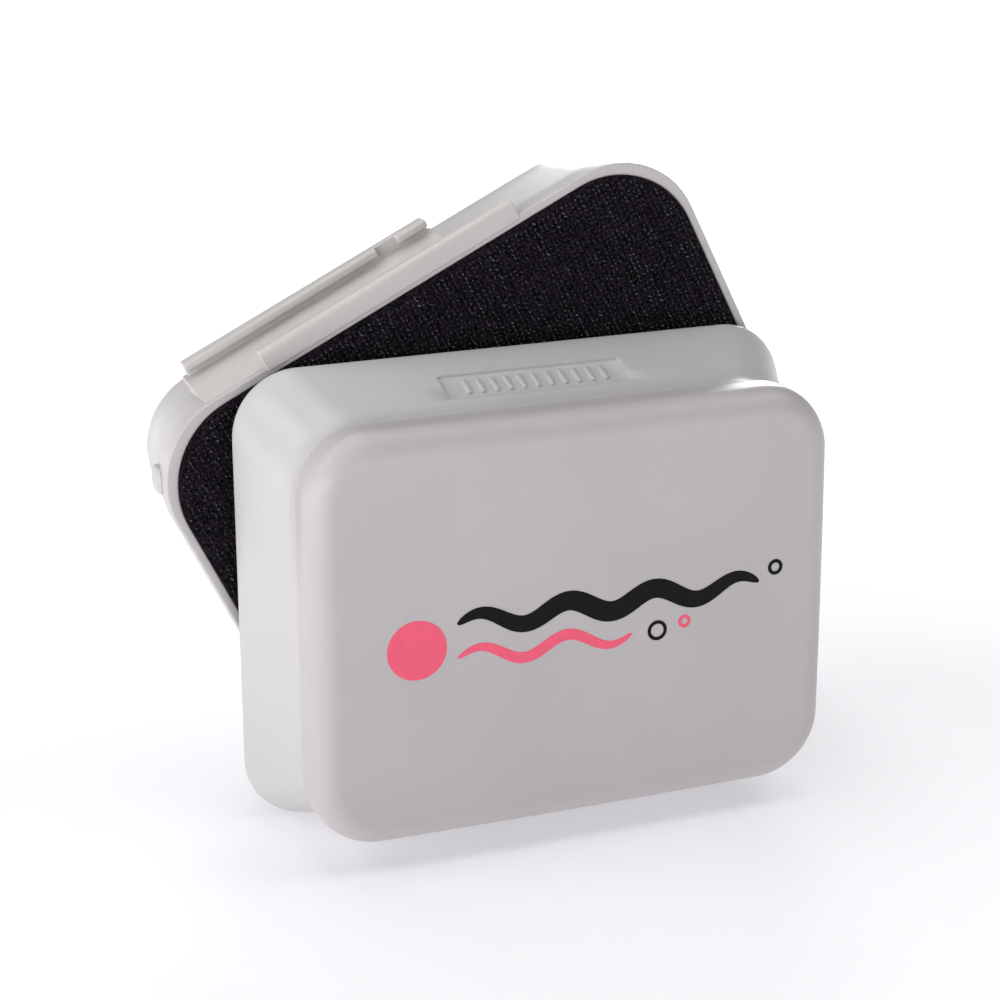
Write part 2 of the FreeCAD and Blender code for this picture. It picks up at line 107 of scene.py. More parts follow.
# blade holder, as (depth behind the rim, height above the side)
RAMP = (-49.5 * MM, 14.8 * MM)        # ends along the float, as for LIP, STOP and RAIL
RAMP_LOW = (0.6 * MM, 0.2 * MM)
RAMP_HIGH = (13.3 * MM, 2.8 * MM)
HOLDER_BACK = 15.5 * MM
HOLDER_ROOT = 1.8 * MM        # shallower than the part's, because it only has to reach into the side
LIP = (-48.5 * MM, 1.0 * MM)
STOP = (6.3 * MM, 14.0 * MM)
LIP_FRONT = 11.5 * MM
LIP_BOTTOM = 4.4 * MM
LIP_TOP = 6.3 * MM
RAIL = (-34.5 * MM, 30.5 * MM)
RAIL_FRONT = -0.4 * MM
RAIL_BACK = 2.4 * MM
RAIL_BOTTOM = -0.9 * MM
RAIL_TOP = 4.0 * MM
RAIL_ROOT = -1.4 * MM         # the rail is built this far into the side
RAIL_ROOT_FRONT = 0.5 * MM
HOLDER_SHY = 0.04 * MM        # keeps the faces of joined blocks out of one plane
HOLDER_FLAT_AREA = 2.0 * MM ** 2      # larger faces of the holder are flat

# pads
PAD_PLAY = 0.1 * MM
FELT_PROUD = 2.0 * MM
HOOK_PROUD = 1.5 * MM
TAPE_PROUD = 0.55 * MM        # the woven ground of the hook tape
HOOK_PITCH = (1.2 * MM, 1.12 * MM)
HOOK_SCATTER = (0.10, 0.12)   # of the roots, in millimetres
HOOK_SWING = 0.6              # spread of the hooks' directions, in radians
HOOK_LEAN = 0.05              # spread of their lean, in millimetres
HOOK_MARGIN = 0.9 * MM        # left free of hooks at the tape's edge
HOOK_FIBRE = 0.18 * MM
HOOK_SIDES = 3
HOOK_REACH = 0.55 * MM
HOOK_PATH = [(0.0, 0.0), (0.12, 0.72), (0.55, 0.93), (0.95, 0.62)]    # shares of reach and height
HOOK_STEEP = (0.1, 0.45, 1.0, 0.75)   # how far the fibre's section is turned upright at each point
HOOK_TIP = 0.7                # thickness at the tip, as a share
HOOK_SHEEN_BANDS = 52.0             # wave texture scale that gives a band of painted sheen every 6 mm or so
FELT_SOFTNESS = 0.9 * MM      # rounding of the felt's edge

# printed mark, in millimetres
MARK_CENTRE = (0.0, 0.5)              # from the middle of the cap's face; the rest is from here
MARK_SPOT = (-37.5, -2.0, 6.6)        # across, up, radius
MARK_WAVES = [                # ink, up, start, end, thickness, number of waves
    ("black", 2.6, -28.5, 42.0, 4.6, 3.5),
    ("coral", -5.0, -28.5, 11.5, 2.6, 2.0),
]
MARK_SWING = 1.9
MARK_BUBBLES = [              # ink, across, up, radius
    ("black", 17.5, -5.2, 2.3),
    ("coral", 24.0, -4.0, 1.5),
    ("black", 46.0, 5.4, 1.8),
]
MARK_BUBBLE_LINE = 0.8

# camera, from the middle of the handle's pad side
CAMERA_OFFSET = Vector((-201.3, -500.55, 185.96)) * MM
CAMERA_AZIMUTH = 21.56
CAMERA_DROP = 17.52
CAMERA_ROLL = -0.315
CAMERA_LENS = 90.565

# studio
FLOOR_CORNERS = [(-4.0, -4.0, 0.0), (4.0, -4.0, 0.0), (4.0, 6.0, 0.0), (-4.0, 6.0, 0.0)]
LIGHT_TARGET = (0.0, 0.0, 0.07)
LIGHTS = [                    # name, place, size, power
    ("key_left", (-0.95, -0.30, 0.22), (0.8, 0.5), 3.2),
    ("front_left", (-0.75, -0.75, 0.30), (0.6, 0.5), 2.6),
    ("overhead", (0.0, -0.05, 1.1), (0.7, 0.7), 2.9),
    ("back_top", (-0.1, 0.5, 0.95), (0.6, 0.5), 1.7),
    ("back_right", (0.55, 1.1, 0.35), (0.5, 0.4), 5.3),
    ("glint_left", (-0.75, 0.1, 0.8), (0.5, 0.5), 2.0),
    ("right_high", (0.6, -0.2, 0.8), (0.5, 0.4), 1.4),
]
WORLD_GLOW = (0.95, 0.08)     # of the backdrop at the horizon and overhead
WORLD_FADE = (0.04, 0.25)     # heights on the unit sphere between which it falls
FLOOR_GLOW = (0.33, 1.05)     # of the floor near the object and far behind it
FLOOR_FADE = (0.12, 0.8)


# ---- the two halves' frames --------------------------------------------------------------------------------

waist_low, waist_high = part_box("handle_waist_shell")
tub_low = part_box("float_tub")[0]
turning_axis = [j for j in frame["joints"] if j["name"] == "turn"][0]["pos_m"]
HANDLE_CENTRE = Vector(((waist_low.x + waist_high.x) / 2, waist_high.y, (waist_low.z + waist_high.z) / 2))
FLOAT_CENTRE = Vector((turning_axis[0], tub_low.y, turning_axis[2]))


def on_handle(points):
    """Moves (u, v, w) points of the handle's frame into the row frame."""
    u, v, w = np.asarray(points, float).reshape(-1, 3).T
    return np.stack([HANDLE_CENTRE.x + u, HANDLE_CENTRE.y - w, HANDLE_CENTRE.z + v], axis=1)


def on_float(points):
    """The same for the float, which is turned on the pads' normal."""
    u, v, w = np.asarray(points, float).reshape(-1, 3).T
    c, s = math.cos(FLOAT_TURN), math.sin(FLOAT_TURN)
    x, z = FLOAT_CENTRE.x + u * c - v * s, FLOAT_CENTRE.z + u * s + v * c
    return np.stack([x, FLOAT_CENTRE.y + w, z], axis=1)


# ---- mesh tools --------------------------------------------------------------------------------------------

CORNER_STEPS = 20
SIDE_STEPS = 14
SMOOTH_ANGLE = math.radians(32.0)


def add_piece(name, points, faces):
    """A mesh object with its faces turned outwards."""
    mesh = bpy.data.meshes.new(name)
    mesh.from_pydata([tuple(p) for p in points], [], faces)
    piece = bpy.data.objects.new(name, mesh)
    bpy.context.scene.collection.objects.link(piece)
    bm = bmesh.new()
    bm.from_mesh(mesh)
    bmesh.ops.recalc_face_normals(bm, faces=bm.faces)
    bm.to_mesh(mesh)
    bm.free()
    return piece


def applied(piece):
    """Makes the piece's modifiers part of its mesh."""
    graph = bpy.context.evaluated_depsgraph_get()
    mesh = bpy.data.meshes.new_from_object(piece.evaluated_get(graph))
    piece.modifiers.clear()
    piece.data = mesh
    return piece


def smoothed(piece, angle=SMOOTH_ANGLE, flat_area=None):
    """Smooth shading up to an angle. Faces larger than flat_area stay flat."""
    mesh = piece.data
    smooth = [flat_area is None or face.area < flat_area for face in mesh.polygons]
    mesh.polygons.foreach_set("use_smooth", smooth)
    mesh.set_sharp_from_angle(angle=angle)
    return piece


def combined(piece, tool, operation):
    """A boolean of two closed pieces. The second one goes away."""
    step = piece.modifiers.new("step", "BOOLEAN")
    step.operation = operation
    step.solver = "EXACT"
    step.object = tool
    applied(piece)
    bpy.data.objects.remove(tool)
    return piece


def bevelled(piece, width, segments=3, limit=30.0):
    step = piece.modifiers.new("edge", "BEVEL")
    step.width = width
    step.segments = segments
    step.limit_method = "ANGLE"
    step.angle_limit = math.radians(limit)
    return applied(piece)


def outline(size, radius):
    """The points of a rounded rectangle, always the same number of them."""
    points = []
    reach_u, reach_v = size[0] / 2 - radius, size[1] / 2 - radius
    corners = [(reach_u, reach_v), (-reach_u, reach_v), (-reach_u, -reach_v), (reach_u, -reach_v)]
    for i, (u, v) in enumerate(corners):
        for step in range(CORNER_STEPS + 1):
            angle = math.pi / 2 * (i + step / CORNER_STEPS)
            points.append((u + radius * math.cos(angle), v + radius * math.sin(angle)))
        last = points[-1]
        next_u, next_v = corners[(i + 1) % 4]
        turn = math.pi / 2 * (i + 1)
        far = (next_u + radius * math.cos(turn), next_v + radius * math.sin(turn))
        for step in range(1, SIDE_STEPS):
            share = step / SIDE_STEPS
            points.append((last[0] + (far[0] - last[0]) * share, last[1] + (far[1] - last[1]) * share))
    return points


def loft(name, rings, place):
    """A closed skin through rings of (size, corner radius, w), with a flat face on the first and the last."""
    points = []
    for size, radius, depth in rings:
        points.extend((u, v, depth) for u, v in outline(size, radius))
    count = len(points) // len(rings)
    faces = [tuple(range(count)), tuple(range(len(points) - count, len(points)))]
    for i in range(len(rings) - 1):
        for k in range(count):
            a, b = i * count + k, i * count + (k + 1) % count
            faces.append((a, b, b + count, a + count))
    return add_piece(name, place(points), faces)


def smaller(size, inset, inset_v=None):
    return (size[0] - 2 * inset, size[1] - 2 * (inset if inset_v is None else inset_v))


def quarter(centre, radius, start, end, steps=6):
    """Points on an arc in the (inset, w) plane, from one angle to another in degrees."""
    points = []
    for i in range(steps + 1):
        angle = math.radians(start + (end - start) * i / steps)
        points.append((centre[0] + radius * math.cos(angle), centre[1] + radius * math.sin(angle)))
    return points


def straight(start, end, support=0.4 * MM, pieces=4):
    """Points from start to end, with one close to each end to keep the shading flat in between."""
    start, end = Vector(start), Vector(end)
    length = (end - start).length
    near = min(support / length, 0.3)
    shares = [near] + [near + (1 - 2 * near) * i / pieces for i in range(1, pieces)] + [1 - near]
    return [tuple(start.lerp(end, share)) for share in shares]


# ---- materials ---------------------------------------------------------------------------------------------

def shader(name, colour, roughness, **sockets):
    material = bpy.data.materials.new(name)
    material.use_nodes = True
    surface = material.node_tree.nodes["Principled BSDF"]
    surface.inputs["Base Color"].default_value = (*colour, 1.0)
    surface.inputs["Roughness"].default_value = roughness
    for key, value in sockets.items():
        surface.inputs[key.replace("_", " ")].default_value = value
    return material, surface


def noise(material, scale, detail=2.0, stretch=(1.0, 1.0, 1.0)):
    """A noise texture in the piece's own coordinates."""
    nodes, links = material.node_tree.nodes, material.node_tree.links
    place = nodes.new("ShaderNodeTexCoord")
    mapping = nodes.new("ShaderNodeMapping")
    mapping.inputs["Scale"].default_value = stretch
    texture = nodes.new("ShaderNodeTexNoise")
    texture.inputs["Scale"].default_value = scale
    texture.inputs["Detail"].default_value = detail
    links.new(place.outputs["Object"], mapping.inputs["Vector"])
    links.new(mapping.outputs["Vector"], texture.inputs["Vector"])
    return texture.outputs["Fac"]


def ramp(material, value, stops):
    """Colours along a 0 to 1 value."""
    node = material.node_tree.nodes.new("ShaderNodeValToRGB")
    elements = node.color_ramp.elements
    while len(elements) < len(stops):
        elements.new(0.5)
    for element, (position, colour) in zip(elements, stops):
        element.position = position
        element.color = (*colour, 1.0)
    material.node_tree.links.new(value, node.inputs["Fac"])
    return node.outputs["Color"]


def span(material, value, low, high, source=(0.3, 0.7)):
    node = material.node_tree.nodes.new("ShaderNodeMapRange")
    node.inputs["From Min"].default_value = source[0]
    node.inputs["From Max"].default_value = source[1]
    node.inputs["To Min"].default_value = low
    node.inputs["To Max"].default_value = high
    material.node_tree.links.new(value, node.inputs["Value"])
    return node.outputs["Result"]


def bump(material, surface, height, strength, distance, under=None):
    node = material.node_tree.nodes.new("ShaderNodeBump")
    node.inputs["Strength"].default_value = strength
    node.inputs["Distance"].default_value = distance
    links = material.node_tree.links
    links.new(height, node.inputs["Height"])
    if under is not None:
        links.new(under, node.inputs["Normal"])
    links.new(node.outputs["Normal"], surface.inputs["Normal"])
    return node.outputs["Normal"]


def shaded(colour, factor):
    return tuple(min(1.0, c * factor) for c in colour)


def plastic(name, colour, roughness, grain=1.0, spread=0.03):
    """Moulded plastic: a fine grain, slow colour and gloss variation, and a trace of flow waviness."""
    material, surface = shader(name, colour, roughness, IOR=1.5)
    cloud = noise(material, 28.0, 3.0)
    tint = ramp(material, cloud, [(0.3, shaded(colour, 1 - spread)), (0.7, shaded(colour, 1 + spread))])
    material.node_tree.links.new(tint, surface.inputs["Base Color"])
    gloss = span(material, noise(material, 90.0, 4.0), roughness - 0.05, roughness + 0.06)
    material.node_tree.links.new(gloss, surface.inputs["Roughness"])
    wave = bump(material, surface, noise(material, 45.0, 1.0), 0.12, 0.25 * MM)
    bump(material, surface, noise(material, 2600.0, 3.0), 0.16 * grain, 0.03 * MM, under=wave)
    return material


def hook_material():
    """Black nylon monofilament, with painted sheen: some hooks are painted lighter, mostly in bands across the
    tape, where they would catch the light.
    """
    material, surface = shader("hook_nylon", (0.006, 0.005, 0.007), 0.3)
    nodes, links = material.node_tree.nodes, material.node_tree.links
    place = nodes.new("ShaderNodeTexCoord")
    turned = nodes.new("ShaderNodeMapping")
    turned.inputs["Rotation"].default_value = (0.0, FLOAT_TURN, 0.0)
    # The bands and the dots lighten the hooks' base colour: painted sheen where they would catch the light.
    band = nodes.new("ShaderNodeTexWave")
    band.inputs["Scale"].default_value = HOOK_SHEEN_BANDS
    band.inputs["Distortion"].default_value = 1.5
    links.new(place.outputs["Object"], turned.inputs["Vector"])
    links.new(turned.outputs["Vector"], band.inputs["Vector"])
    sheen_dots = noise(material, 520.0, 1.0)
    both = nodes.new("ShaderNodeMath")
    both.operation = "MULTIPLY_ADD"
    both.inputs[1].default_value = 0.12
    links.new(band.outputs["Fac"], both.inputs[0])
    links.new(sheen_dots, both.inputs[2])
    stops = [(0.42, (0.010, 0.008, 0.011)), (0.60, (0.026, 0.022, 0.028)), (0.78, (0.085, 0.08, 0.09))]
    links.new(ramp(material, both.outputs["Value"], stops), surface.inputs["Base Color"])
    gloss = span(material, noise(material, 420.0, 2.0), 0.29, 0.45)
    links.new(gloss, surface.inputs["Roughness"])
    return material


def weave_material():
    """The tape's woven ground, black and matt."""
    material, surface = shader("hook_ground", (0.002, 0.0015, 0.0025), 0.9, Specular_IOR_Level=0.07)
    thread = noise(material, 1700.0, 2.0)
    shade = ramp(material, thread, [(0.40, (0.0015, 0.001, 0.002)), (0.66, (0.022, 0.017, 0.024))])
    material.node_tree.links.new(shade, surface.inputs["Base Color"])
    bump(material, surface, thread, 0.7, 0.12 * MM)
    return material


def felt_material():
    """Pressed grey felt, with tangled fibres and a soft sheen."""
    material, surface = shader("grey_felt", (0.07, 0.07, 0.075), 0.95, Sheen_Weight=0.5)
    tangle = noise(material, 1300.0, 6.0, (1.0, 0.5, 1.0))
    mottle = noise(material, 160.0, 3.0)
    shade = ramp(material, tangle, [(0.3, (0.035, 0.035, 0.04)), (0.72, (0.13, 0.13, 0.14))])
    material.node_tree.links.new(shade, surface.inputs["Base Color"])
    slow = bump(material, surface, mottle, 0.3, 0.4 * MM)
    bump(material, surface, tangle, 0.8, 0.15 * MM, under=slow)
    return material


def adhesive_material():
    material, surface = shader("adhesive_film", (0.55, 0.53, 0.46), 0.35)
    cloud = noise(material, 300.0, 3.0)
    tint = ramp(material, cloud, [(0.3, (0.5, 0.47, 0.4)), (0.7, (0.62, 0.6, 0.53))])
    material.node_tree.links.new(tint, surface.inputs["Base Color"])
    bump(material, surface, cloud, 0.3, 0.05 * MM)
    return material


def ferrite_material():
    """Sintered ferrite: dark grey, gritty, with ground faces."""
    material, surface = shader("sintered_ferrite", (0.05, 0.05, 0.055), 0.6, Metallic=0.25)
    grit = noise(material, 3500.0, 5.0)
    shade = ramp(material, grit, [(0.35, (0.03, 0.03, 0.033)), (0.7, (0.085, 0.085, 0.09))])
    material.node_tree.links.new(shade, surface.inputs["Base Color"])
    gloss = span(material, noise(material, 220.0, 3.0), 0.48, 0.72)
    material.node_tree.links.new(gloss, surface.inputs["Roughness"])
    bump(material, surface, grit, 0.5, 0.05 * MM)
    return material


def steel_material(name, colour, stretch):
    """Zinc-plated steel with a rolled or turned grain."""
    material, surface = shader(name, colour, 0.32, Metallic=1.0)
    grain = noise(material, 1500.0, 4.0, stretch)
    shade = ramp(material, grain, [(0.3, shaded(colour, 0.82)), (0.7, shaded(colour, 1.12))])
    material.node_tree.links.new(shade, surface.inputs["Base Color"])
    gloss = span(material, noise(material, 120.0, 4.0), 0.29, 0.45)
    material.node_tree.links.new(gloss, surface.inputs["Roughness"])
    bump(material, surface, grain, 0.25, 0.02 * MM)
    return material


def print_material(name, colour, roughness):
    """Pad-printed ink, with the slight unevenness of a printed layer."""
    material, surface = shader(name, colour, roughness, Specular_IOR_Level=0.15)
    cloud = noise(material, 700.0, 2.0)
    tint = ramp(material, cloud, [(0.3, shaded(colour, 0.97)), (0.7, shaded(colour, 1.03))])
    material.node_tree.links.new(tint, surface.inputs["Base Color"])
    bump(material, surface, noise(material, 2600.0, 2.0), 0.1, 0.02 * MM)
    return material


HANDLE_PLASTIC = plastic("handle_abs", (0.56, 0.545, 0.545), 0.34)
# The cap's colour is the handle's plastic painted darker and warmer: painted shade for its front face, which
# turns away from the lamps at the left. Its coarser grain is its own.
SHADED_CAP_PLASTIC = plastic("cap_abs_painted_shade", (0.505, 0.48, 0.485), 0.36, grain=1.6)
FLOAT_PLASTIC = plastic("float_abs", (0.535, 0.512, 0.517), 0.36)
HOLDER_PLASTIC = plastic("holder_abs", (0.575, 0.551, 0.537), 0.34)
INNER_PLASTIC = plastic("inner_abs", (0.50, 0.50, 0.50), 0.55)
FELT = felt_material()
HOOKS = hook_material()
WEAVE = weave_material()
ADHESIVE = adhesive_material()
FERRITE = ferrite_material()
YOKE_STEEL = steel_material("zinc_plate", (0.55, 0.56, 0.58), (1.0, 1.0, 0.05))
SCREW_STEEL = steel_material("zinc_screw", (0.62, 0.62, 0.64), (1.0, 0.08, 1.0))
BLACK_INK = print_material("black_ink", (0.004, 0.0035, 0.005), 0.6)
CORAL_INK = print_material("coral_ink", (0.90, 0.125, 0.21), 0.5)

NODE_MATERIALS = {
    "handle_waist_shell": HANDLE_PLASTIC,
    "handle_front_cap": SHADED_CAP_PLASTIC,
    "handle_base_plate": INNER_PLASTIC,
    "float_face_plate": INNER_PLASTIC,
    "float_tub": FLOAT_PLASTIC,
    "float_blade_holder": HOLDER_PLASTIC,
    "handle_felt_pad": FELT,
    "float_hook_pad": WEAVE,
    "handle_felt_adhesive": ADHESIVE,
    "float_hook_adhesive": ADHESIVE,
    "handle_yoke_plate": YOKE_STEEL,
    "float_yoke_plate": YOKE_STEEL,
    "handle_yoke_screws": SCREW_STEEL,
    "float_yoke_screws": SCREW_STEEL,
    "float_centre_screw": SCREW_STEEL,
}


def dressed(piece, *materials):
    piece.data.materials.clear()
    for material in materials:
        piece.data.materials.append(material)
    return piece


for node_name, node in frame["nodes"].items():
    dressed(node, NODE_MATERIALS.get(node_name, FERRITE))


def finished(piece, body, slot, *nodes):
    """Says what the piece rides on and what it stands for. The slot is not used."""
    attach(piece, body)
    if nodes:
        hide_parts(*nodes)
    return piece


# ---- handle ------------------------------------------------------------------------------------------------

def waist_arc():
    """(inset, w) points of the concave waist, from the top of the leaning side to the cap."""
    lean = math.atan2(TAPER_INSET, TAPER_RISE)
    bottom = TAPER_INSET + WAIST_RADIUS * (1 - math.cos(lean))
    middle = LAND + TAPER_RISE + WAIST_RADIUS * math.sin(lean)
    steps = 20
    points = []
    for i in range(steps + 1):
        angle = -lean + (lean + NECK_ANGLE) * i / steps
        inset = bottom - WAIST_RADIUS * (1 - math.cos(angle))
        points.append((inset, middle + WAIST_RADIUS * math.sin(angle)))
    return points


ARC = waist_arc()
NECK_INSET, NECK_TOP = ARC[-1]


def waist_ring(inset, depth, extra=0.0, radius=HANDLE_RADIUS):
    return (smaller(HANDLE_SIZE, inset + extra, inset * LEAN_RATIO + extra), radius, depth)


def handle_shell():
    """The middle moulding, from the inside of its roof over the rim and up to the neck."""
    wall = HANDLE_WALL + 0.3 * MM
    inner_radius = HANDLE_RADIUS - HANDLE_WALL - SHOULDER
    ledge = HANDLE_WALL + SHOULDER
    deepest = max(inset for inset, _ in ARC)
    rings = [
        waist_ring(deepest, NECK_TOP - WAIST_WEB, wall, inner_radius),
        waist_ring(TAPER_INSET, LAND + TAPER_RISE, wall, inner_radius),
        (smaller(HANDLE_SIZE, ledge), inner_radius, PLATE_SEAT),
        (smaller(HANDLE_SIZE, HANDLE_WALL), HANDLE_RADIUS - HANDLE_WALL, PLATE_SEAT),
    ]
    r = RIM_ROUNDING
    for inset, depth in quarter((HANDLE_WALL - r, r), r, 0, -90, 5) + quarter((r, r), r, -90, -180, 6):
        rings.append((smaller(HANDLE_SIZE, inset), HANDLE_RADIUS - inset, depth))
    side = straight((0.0, LAND * 0.6), (TAPER_INSET, LAND + TAPER_RISE), pieces=6)
    for inset, depth in side + ARC[:-1]:
        rings.append(waist_ring(inset, depth))
    for inset, depth in ((NECK_INSET, NECK_TOP - 0.1 * MM), (NECK_INSET + 0.08 * MM, NECK_TOP)):
        rings.append(waist_ring(inset, depth))
    inset, width, height = SPIGOT
    for step_in, depth in ((0.0, 0.0), (0.0, height), (width, height), (width, 0.0)):
        step = inset + step_in
        rings.append((smaller(CAP_SIZE, step), CAP_RADIUS - step, NECK_TOP + depth))
    return loft("waist_moulding", rings, on_handle)


def on_panel(points):
    """Places (along, up the slope, outwards) points on the leaning upper side."""
    lean = math.atan2(TAPER_INSET * LEAN_RATIO, TAPER_RISE)
    start = HANDLE_SIZE[1] / 2 - (PANEL_RISE - LAND) * TAPER_INSET * LEAN_RATIO / TAPER_RISE
    along, up, out = np.asarray(points, float).reshape(-1, 3).T
    up = up + PANEL[1] / 2
    v = start + out * math.cos(lean) - up * math.sin(lean)
    w = PANEL_RISE + up * math.cos(lean) + out * math.sin(lean)
    return on_handle(np.stack([along, v, w], axis=1))


def recess():
    """The tool that cuts the panel, with a soft inner edge and a broken outer one."""
    length, height, depth = PANEL
    edge = 0.22 * MM
    profile = [(edge, -depth), (0.06 * MM, -depth + 0.06 * MM), (0.0, -depth + edge), (0.0, -edge)]
    profile += [(-0.08 * MM, -0.06 * MM), (-edge, 0.02 * MM), (-edge, 1.0 * MM)]
    rings = [(smaller((length, height), inset), PANEL_RADIUS, out) for inset, out in profile]
    return loft("recess_tool", rings, on_panel)


def panel_ribs():
    count, pitch = PANEL_RIBS
    width, run, rise = PANEL_RIB
    floor = -PANEL[2]
    radius = width / 2 - 0.01 * MM
    profile = [(0.0, floor - 0.3 * MM), (0.0, floor + rise - 0.3 * MM), (0.1 * MM, floor + rise - 0.1 * MM),
               (0.3 * MM, floor + rise)]
    ribs = None
    for i in range(count):
        centre = pitch * (i - (count - 1) / 2)

        def place(points):
            return on_panel(np.asarray(points, float) + (centre, 0.0, 0.0))

        rings = [(smaller((width, run), inset), max(radius - inset, 0.1 * MM), out) for inset, out in profile]
        rib = loft("rib_%02d" % i, rings, place)
        ribs = rib if ribs is None else combined(ribs, rib, "UNION")
    return ribs


def handle_cap():
    """The front moulding: a shallow rounded tray, slightly crowned."""
    top = NECK_TOP + CAP_DEPTH - 1.5 * PRINT_THICKNESS
    inner_top = NECK_TOP + CAP_DEPTH - CAP_WALL - CAP_ROOF_SLACK
    rear = NECK_TOP + CAP_REAR_EDGE
    side_top = top - CAP_ROUNDING
    inner = CAP_INNER_RADIUS
    inside = [(CAP_WALL + inner, inner_top), (CAP_WALL, inner_top - inner), (CAP_WALL, NECK_TOP)]
    outside = quarter((CAP_REAR_EDGE, rear), CAP_REAR_EDGE, 270, 180, 5)
    outside += straight((0.0, rear), (0.0, side_top), pieces=3)
    outside += quarter((CAP_ROUNDING, side_top), CAP_ROUNDING, 180, 90, 18)
    middle = CAP_SIZE[1] / 2
    for share in CAP_FACE_SHARES:
        outside.append((CAP_ROUNDING + (middle - CAP_ROUNDING) * share, top))
    outlines = [(smaller(CAP_SIZE, i), max(CAP_RADIUS - i, 0.4 * MM), w) for i, w in inside + outside]
    sink = [0.0] * len(inside) + [min(max((w - rear) / (side_top - rear), 0.0), 1.0) for _, w in outside]

    def place(points):
        """Lowers the front face towards its edges, like a very flat dome."""
        points = np.array(points, float)
        share = np.repeat(sink, len(points) // len(sink))
        points[:, 2] -= share * (points[:, 0] ** 2 + points[:, 1] ** 2) / (2 * CAP_CROWN_RADIUS)
        return on_handle(points)

    return loft("front_cap_moulding", outlines, place)


# ---- printed mark ------------------------------------------------------------------------------------------

def on_cap(points):
    """Places (u, v, height above the print's underside) points on the crowned face."""
    points = np.asarray(points, float).reshape(-1, 3).copy()
    sag = (points[:, 0] ** 2 + points[:, 1] ** 2) / (2 * CAP_CROWN_RADIUS)
    points[:, 2] += NECK_TOP + CAP_DEPTH - 2 * PRINT_THICKNESS - sag
    return on_handle(points)


def printed(name, strip, material):
    """A printed shape from two rows of points, left and right of its middle line."""
    left, right = strip
    count = len(left)
    points = []
    for height in (0.0, 1.9 * PRINT_THICKNESS):
        points += [(u, v, height) for u, v in left] + [(u, v, height) for u, v in right]
    top = 2 * count
    faces = []
    for i in range(count - 1):
        a, b = i, count + i
        faces.append((a, a + 1, b + 1, b))
        faces.append((top + a, top + b, top + b + 1, top + a + 1))
        faces.append((a, top + a, top + a + 1, a + 1))
        faces.append((b, b + 1, top + b + 1, top + b))
    faces.append((0, count, top + count, top))
    faces.append((count - 1, top + count - 1, top + 2 * count - 1, 2 * count - 1))
    return dressed(add_piece(name, on_cap(points), faces), material)


def wave_strip(start, end, height, swing, waves, thickness):
    """A wavy band that is thin at both ends."""
    steps = 72
    left, right = [], []
    for i in range(steps + 1):
        share = i / steps
        u = start + (end - start) * share
        phase = 2 * math.pi * waves * share
        v = height + swing * math.sin(phase)
        slope = swing * math.cos(phase) * 2 * math.pi * waves / (end - start)
        half = thickness / 2 * (0.12 + 0.88 * math.sin(math.pi * share) ** 0.45)
        length = math.hypot(1.0, slope)
        left.append((u - half * slope / length, v + half / length))
        right.append((u + half * slope / length, v - half / length))
    return left, right


def ring_strip(centre, outer, inner):
    steps = 40
    left, right = [], []
    for i in range(steps + 1):
        angle = 2 * math.pi * min(i, steps - 0.02) / steps
        direction = (math.cos(angle), math.sin(angle))
        left.append((centre[0] + outer * direction[0], centre[1] + outer * direction[1]))
        right.append((centre[0] + inner * direction[0], centre[1] + inner * direction[1]))
    return left, right


def cap_mark():
    """A generic mark with no lettering: a round spot, two waves and a few bubbles."""
    inks = {"black": BLACK_INK, "coral": CORAL_INK}
    u, v = MARK_CENTRE[0] * MM, MARK_CENTRE[1] * MM
    across, height, radius = MARK_SPOT
    spot = ring_strip((u + across * MM, v + height * MM), radius * MM, 0.02 * MM)
    pieces = [printed("mark_spot", spot, inks["coral"])]
    for i, (ink, height, start, end, thickness, count) in enumerate(MARK_WAVES):
        ends = (u + start * MM, u + end * MM)
        strip = wave_strip(*ends, v + height * MM, MARK_SWING * MM, count, thickness * MM)
        pieces.append(printed("mark_wave_%d" % (i + 1), strip, inks[ink]))
    for i, (ink, across, height, radius) in enumerate(MARK_BUBBLES):
        centre = (u + across * MM, v + height * MM)
        strip = ring_strip(centre, radius * MM, (radius - MARK_BUBBLE_LINE) * MM)
        pieces.append(printed("mark_bubble_%d" % (i + 1), strip, inks[ink]))
    for piece in pieces:
        finished(piece, "handle", "handle_plastic")


# ---- float -------------------------------------------------------------------------------------------------

def draft_inset(depth):
    return max(0.0, depth - FLOAT_RIM_BAND) * math.tan(FLOAT_DRAFT)


def float_ring(inset, depth):
    """A ring of the float's outside. Its corner radius changes evenly from the rim to the back."""
    share = max(0.0, depth - FLOAT_RIM_BAND) / (FLOAT_DEPTH - FLOAT_RIM_BAND)
    radius = FLOAT_RADIUS + (FLOAT_BACK_RADIUS - FLOAT_RADIUS) * min(1.0, share)
    return (smaller(FLOAT_SIZE, inset), max(radius - max(0.0, inset - draft_inset(depth)), 2 * MM), depth)


